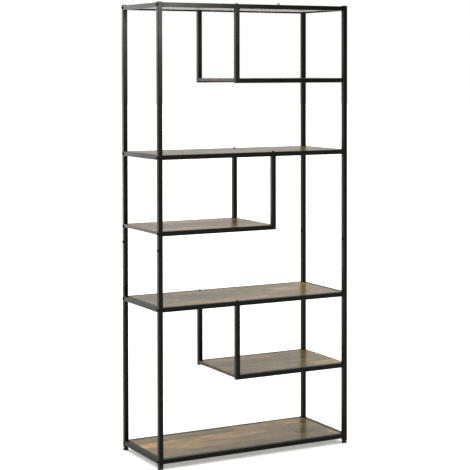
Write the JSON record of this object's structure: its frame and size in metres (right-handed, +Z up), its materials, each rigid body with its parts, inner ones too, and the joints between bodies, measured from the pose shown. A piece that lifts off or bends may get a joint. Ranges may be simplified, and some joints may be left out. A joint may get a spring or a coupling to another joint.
{
  "type": "bookcase",
  "caption": "Tall open bookcase: a bolted black square-tube frame with full-width and staggered part-width wood-look shelves hung from the rails above, on screw-in feet.",
  "frame": {"origin": "on the floor, under the middle of the frame's footprint", "axes": "+X to the right side, -Y to the front, +Z up"},
  "size_m": [0.8616, 0.349, 1.823],
  "materials": {
    "frame_paint": "near-black satin powder coat, slightly textured",
    "board_laminate": "rustic grey-brown wood-print laminate, semi-gloss, over particle board",
    "fastener_steel": "blackened steel",
    "zinc_steel": "zinc-plated steel",
    "black_plastic": "matt black moulded plastic",
    "pale_bracket": "off-white painted steel"
  },
  "bodies": {
    "frame": {"board_shelf_1": "board_laminate", "board_shelf_2": "board_laminate", "board_shelf_3": "board_laminate", "board_shelf_4": "board_laminate", "board_shelf_5": "board_laminate", "board_shelf_6": "board_laminate", "board_tabs": "frame_paint", "board_top": "board_laminate", "foot_inserts": "black_plastic", "frame_bolts": "fastener_steel", "hanging_post_back_shelf_1": "frame_paint", "hanging_post_back_shelf_3": "frame_paint", "hanging_post_back_shelf_5": "frame_paint", "hanging_post_front_shelf_1": "frame_paint", "hanging_post_front_shelf_3": "frame_paint", "hanging_post_front_shelf_5": "frame_paint", "long_rail_back_shelf_2": "frame_paint", "long_rail_back_shelf_4": "frame_paint", "long_rail_back_shelf_6": "frame_paint", "long_rail_back_top": "frame_paint", "long_rail_front_shelf_2": "frame_paint", "long_rail_front_shelf_4": "frame_paint", "long_rail_front_shelf_6": "frame_paint", "long_rail_front_top": "frame_paint", "part_rail_back_shelf_1": "frame_paint", "part_rail_back_shelf_3": "frame_paint", "part_rail_back_shelf_5": "frame_paint", "part_rail_front_shelf_1": "frame_paint", "part_rail_front_shelf_3": "frame_paint", "part_rail_front_shelf_5": "frame_paint", "post_back_left_lower": "frame_paint", "post_back_left_upper": "frame_paint", "post_back_right_lower": "frame_paint", "post_back_right_upper": "frame_paint", "post_front_left_lower": "frame_paint", "post_front_left_upper": "frame_paint", "post_front_right_lower": "frame_paint", "post_front_right_upper": "frame_paint", "post_splice_bolts": "fastener_steel", "post_splice_spigots": "zinc_steel", "post_top_caps": "black_plastic", "short_screws": "fastener_steel", "side_rail_left_shelf_2": "frame_paint", "side_rail_left_shelf_4": "frame_paint", "side_rail_left_shelf_6": "frame_paint", "side_rail_left_top": "frame_paint", "side_rail_right_shelf_2": "frame_paint", "side_rail_right_shelf_4": "frame_paint", "side_rail_right_shelf_6": "frame_paint", "side_rail_right_top": "frame_paint", "tube_end_nuts": "zinc_steel", "wall_brackets": "pale_bracket"},
    "foot_front_left": {"foot_pad_front_left": "black_plastic", "foot_stud_front_left": "fastener_steel"},
    "foot_front_right": {"foot_pad_front_right": "black_plastic", "foot_stud_front_right": "fastener_steel"},
    "foot_back_left": {"foot_pad_back_left": "black_plastic", "foot_stud_back_left": "fastener_steel"},
    "foot_back_right": {"foot_pad_back_right": "black_plastic", "foot_stud_back_right": "fastener_steel"}
  },
  "joints": [
    {"name": "level_front_left", "type": "slide", "parent": "frame", "child": "foot_front_left", "axis": [0, 0, -1], "range_m": [0, 0.008]},
    {"name": "level_front_right", "type": "slide", "parent": "frame", "child": "foot_front_right", "axis": [0, 0, -1], "range_m": [0, 0.008]},
    {"name": "level_back_left", "type": "slide", "parent": "frame", "child": "foot_back_left", "axis": [0, 0, -1], "range_m": [0, 0.008]},
    {"name": "level_back_right", "type": "slide", "parent": "frame", "child": "foot_back_right", "axis": [0, 0, -1], "range_m": [0, 0.008]}
  ]
}
